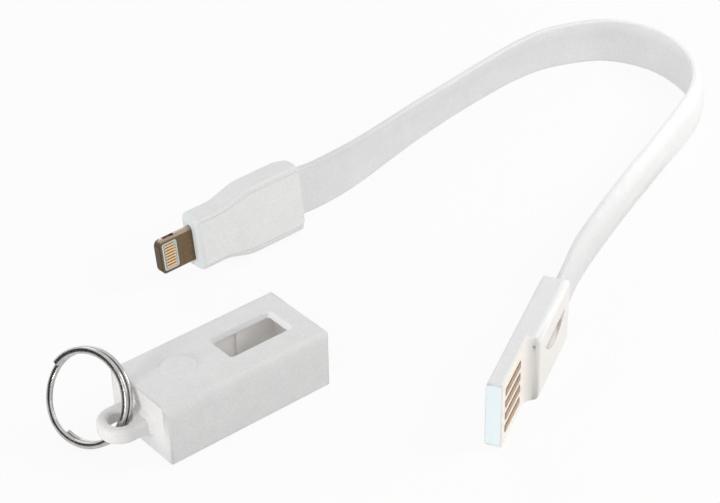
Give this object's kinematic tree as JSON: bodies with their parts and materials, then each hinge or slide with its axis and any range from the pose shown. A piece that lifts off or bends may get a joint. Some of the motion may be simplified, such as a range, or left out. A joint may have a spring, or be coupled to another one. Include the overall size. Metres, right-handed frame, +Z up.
{
  "type": "charging cable",
  "caption": "Short flat charging cable with a phone plug and a slim computer plug, beside the white holder block that stores both plugs and its split key ring.",
  "frame": {"origin": "centre of the holder block's underside, on the surface it stands on", "axes": "+X along the holder from its key lug to its socket end, +Y across it towards the ribbon's loop side, +Z up"},
  "size_m": [0.1534, 0.0819, 0.0149],
  "materials": {
    "white_shell": "satin moulded white",
    "guide_plastic": "moulded light grey",
    "polished_ring": "polished spring steel",
    "plug_steel": "satin steel",
    "contact_frame": "moulded pale grey",
    "gold_contact": "gold plated",
    "board": "green solder mask",
    "chip": "moulded black",
    "capacitor": "fired ceramic",
    "shield": "pressed plate",
    "core_jacket": "coloured core",
    "clamp": "moulded ivory",
    "white_ribbon": "smooth white elastomer",
    "cream_shell": "satin moulded warm white"
  },
  "bodies": {
    "holder": {"holder_body": "white_shell", "socket_guide": "guide_plastic"},
    "key_ring": {"split_ring": "polished_ring"},
    "cable": {"phone_tongue": "plug_steel", "phone_contact_frame_front": "contact_frame", "phone_contact_frame_back": "contact_frame", "phone_contacts_front": "gold_contact", "phone_contacts_back": "gold_contact", "phone_board": "board", "phone_chip": "chip", "phone_capacitors": "capacitor", "phone_shield": "shield", "phone_wires": "core_jacket", "phone_wire_clamp": "clamp", "phone_housing": "white_shell", "phone_cover": "white_shell", "ribbon_jacket": "white_ribbon", "computer_plug_body": "cream_shell", "computer_plug_back": "cream_shell", "contact_power": "gold_contact", "contact_data_minus": "gold_contact", "contact_data_plus": "gold_contact", "contact_ground": "gold_contact", "computer_board": "board", "computer_chip": "chip", "computer_capacitors": "capacitor", "computer_wires": "core_jacket", "computer_wire_clamp": "clamp"}
  },
  "joints": [
    {"name": "ring_swing", "type": "hinge", "parent": "holder", "child": "key_ring", "pos_m": [-0.0191, 0, 0.0056], "axis": [0, 0, 1], "range_deg": [-40, 80]},
    {"name": "cable_lift", "type": "slide", "parent": "holder", "child": "cable", "axis": [0, 0, 1], "range_m": [0, 0.04]}
  ]
}
